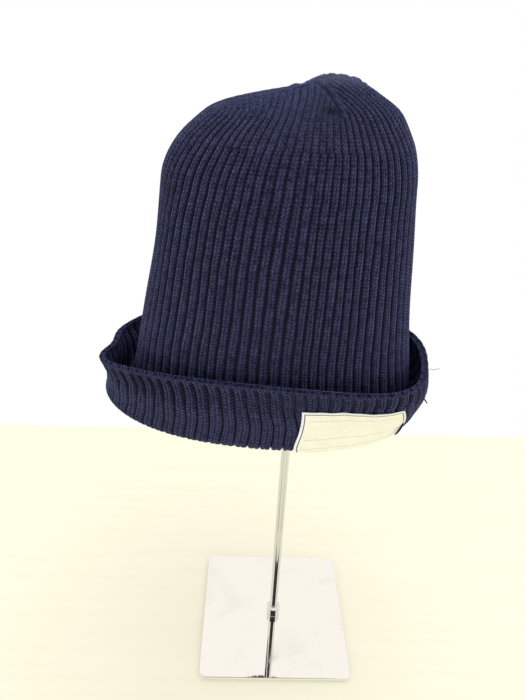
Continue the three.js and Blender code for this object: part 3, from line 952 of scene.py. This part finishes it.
def satin_metal():
    """Brushed satin metal of the hidden rest inside the crown."""
    material, tree, shader = finish_named("satin_metal", {"Metallic": 1.0})
    stretched = add_node(tree, "ShaderNodeMapping", {"Vector": on_piece(tree), "Scale": (1, 1, 12)})
    brushed = noise(tree, stretched.outputs["Vector"], 400.0, 3.0)
    rough = sum_of(tree, "MULTIPLY_ADD", brushed, 0.25, 0.28)
    tree.links.new(rough, shader.inputs["Roughness"])
    shade = blended(tree, brushed, (0.66, 0.66, 0.65, 1), (0.76, 0.76, 0.75, 1))
    tree.links.new(shade, shader.inputs["Base Color"])
    relief(tree, shader, brushed, distance=0.0001, strength=0.4)
    return material


def table_top():
    """A pale cream table top with faint streaks along it."""
    material, tree, shader = finish_named("table_top", {"Roughness": 0.6, "Specular IOR Level": 0.2})
    stretched = add_node(tree, "ShaderNodeMapping", {"Vector": on_piece(tree), "Scale": (0.6, 14, 1)})
    streaks = noise(tree, stretched.outputs["Vector"], 9.0, 4.0)
    shade = blended(tree, streaks, (0.86, 0.825, 0.645, 1), (0.90, 0.87, 0.70, 1))
    tree.links.new(shade, shader.inputs["Base Color"])
    return material


def dress(piece, material):
    """Gives a piece its material."""
    piece.data.materials.clear()
    piece.data.materials.append(material)


bright_chrome = polished_metal(
    "bright_chrome", (0.73, 0.73, 0.71), Clean=0.05, Smudged=0.25, Scale=60.0, Amount=0.5
)
mirror_polish = polished_metal(
    "mirror_polish", (0.95, 0.91, 0.83), Clean=0.03, Smudged=0.22, Scale=22.0, Amount=0.6
)
dress(cap, navy_wool())
dress(label, cream_tape())
dress(plate, mirror_polish)
dress(pole, bright_chrome)
dress(nut, bright_chrome)
dress(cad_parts["cap_rest"], satin_metal())

# ---------------------------------------------------------------- floor and light

FAR_EDGE = 0.266  # where the table top ends behind the stand, and white begins
TABLE_SIZE = (6, 4)
# Cards that only reflections see. A dark flag in front makes the dark core of the pole, and a grey strip on
# either side of the plate's front makes the thin lines beside it.
FLAG_PLACE = (-0.03, -0.43, 0.71)
FLAG_SIZE = (0.95, 0.58)
STRIP_TURN = math.radians(42)  # from straight ahead
STRIP_AWAY = 0.218  # from the pole to a strip's middle
STRIP_HEIGHT = 0.004
STRIP_SIZE = (0.022, 0.24)


def stage_plane(name, centre, turns, size, material):
    """A flat stage piece of some width and height, turned about X and Z."""
    deselect()
    bpy.ops.mesh.primitive_plane_add(size=1, location=centre, rotation=(turns[0], 0, turns[1]))
    plane = active()
    plane.name = name
    plane.scale = (*size, 1)
    bpy.ops.object.transform_apply()
    dress(plane, material)
    return plane


def card(name, centre, turns, size, material):
    """A card that only reflections see."""
    plane = stage_plane(name, centre, turns, size, material)
    plane.visible_camera = False
    plane.visible_diffuse = False
    plane.visible_shadow = False


def soft_light(name, spot, aim, size, power):
    """A square soft light at a spot, turned to face a point, that reflections don't see."""
    light = bpy.data.lights.new(name, "AREA")
    light.size = size
    light.energy = power
    lamp = bpy.data.objects.new(name, light)
    lamp.visible_glossy = False
    facing = (Vector(aim) - Vector(spot)).to_track_quat("-Z", "Y")
    lamp.matrix_world = Matrix.Translation(Vector(spot)) @ facing.to_matrix().to_4x4()
    bpy.context.scene.collection.objects.link(lamp)


stage_plane("floor", (0, FAR_EDGE - TABLE_SIZE[1] / 2, 0), (0, 0), TABLE_SIZE, table_top())
soft_light("overhead", (0.2, 0.3, 1.6), aim=(0, 0, 0.2), size=1.4, power=6)
soft_light("front_left", (-1.0, -1.1, 1.0), aim=(0, 0, 0.3), size=1.0, power=2)
soft_light("front_right", (1.1, -1.0, 0.9), aim=(0, 0, 0.3), size=1.0, power=2.5)

dark_card = finish_named("dark_card", {"Base Color": (0.02, 0.02, 0.018, 1), "Roughness": 1.0})[0]
grey_card = finish_named("grey_card", {"Base Color": (0.3, 0.28, 0.22, 1), "Roughness": 1.0})[0]
card("dark_flag", FLAG_PLACE, (math.pi / 2, 0), FLAG_SIZE, dark_card)
for turn in (-STRIP_TURN, STRIP_TURN):
    centre = (STRIP_AWAY * math.sin(turn), -STRIP_AWAY * math.cos(turn), STRIP_HEIGHT)
    card("grey_strip", centre, (0, turn), STRIP_SIZE, grey_card)

world = bpy.data.worlds.new("studio")
world.use_nodes = True
world.node_tree.nodes["Background"].inputs["Color"].default_value = (1, 1, 1, 1)
bpy.context.scene.world = world
bpy.context.scene.view_settings.view_transform = "Standard"

# ---------------------------------------------------------------- what each piece stands for

STAND_INS = {
    cap: ("knit_cap", "knit"),
    label: ("label", "label_cloth"),
    plate: ("base_plate", "polished_plate"),
    pole: ("pole", "chrome"),
    nut: ("foot_nut", "chrome"),
}
for piece, (node, slot) in STAND_INS.items():
    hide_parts(node)
    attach(piece, "root")
